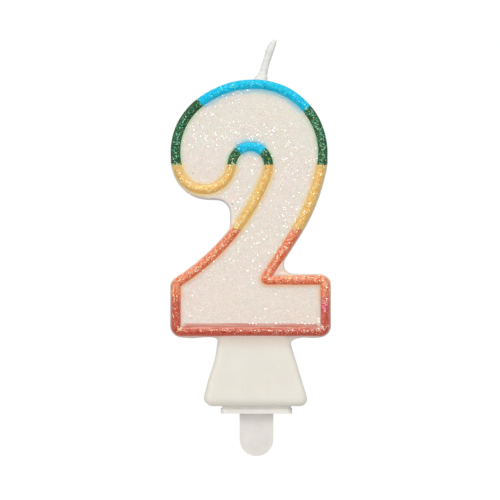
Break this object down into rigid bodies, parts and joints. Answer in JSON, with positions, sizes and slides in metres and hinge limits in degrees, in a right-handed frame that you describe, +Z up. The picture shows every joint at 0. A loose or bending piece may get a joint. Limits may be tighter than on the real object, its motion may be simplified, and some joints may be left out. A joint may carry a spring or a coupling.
{
  "type": "number birthday candle",
  "caption": "Cast wax numeral candle with a raised glitter bead round its outline, a wick, and a foot with a flange and a flat pull-out pick for the cake.",
  "frame": {"origin": "middle of the flange's underside, where the candle rests on the cake", "axes": "+Z up out of the cake along the wick, the decorated face looks along -Y, +X to the right of someone facing it"},
  "size_m": [0.0435, 0.0124, 0.1121],
  "materials": {
    "cream_wax": "soft satin paraffin wax, slightly see-through",
    "glitter_lacquer": "clear lacquer with fine white, gold and green glitter",
    "bead_blue": "glossy wax full of cyan glitter",
    "bead_green": "glossy wax full of emerald glitter",
    "bead_yellow": "glossy wax full of gold glitter",
    "bead_orange": "glossy wax full of gold glitter",
    "bead_red": "glossy wax full of gold and pink glitter",
    "wick_cotton": "braided cotton",
    "wick_wax": "thin dipped wax over the braid",
    "white_plastic": "semi-gloss moulded polypropylene",
    "blade_plastic": "semi-gloss moulded polypropylene"
  },
  "bodies": {
    "candle": {"wax_casting": "cream_wax", "glitter_glaze": "glitter_lacquer", "bead_blue_crown": "bead_blue", "bead_blue_arch": "bead_blue", "bead_green_left": "bead_green", "bead_green_right": "bead_green", "bead_green_arch_left": "bead_green", "bead_green_arch_right": "bead_green", "bead_yellow_hook": "bead_yellow", "bead_yellow_neck": "bead_yellow", "bead_yellow_back": "bead_yellow", "bead_orange_neck": "bead_orange", "bead_orange_notch": "bead_orange", "bead_red_base": "bead_red", "wick_core": "wick_cotton", "wick_coat": "wick_wax", "pick_socket": "white_plastic", "socket_cap": "white_plastic"},
    "pick": {"pick_blade": "blade_plastic"}
  },
  "joints": [
    {"name": "blade_pull", "type": "slide", "parent": "candle", "child": "pick", "axis": [0, 0, -1], "range_m": [0, 0.012]}
  ]
}
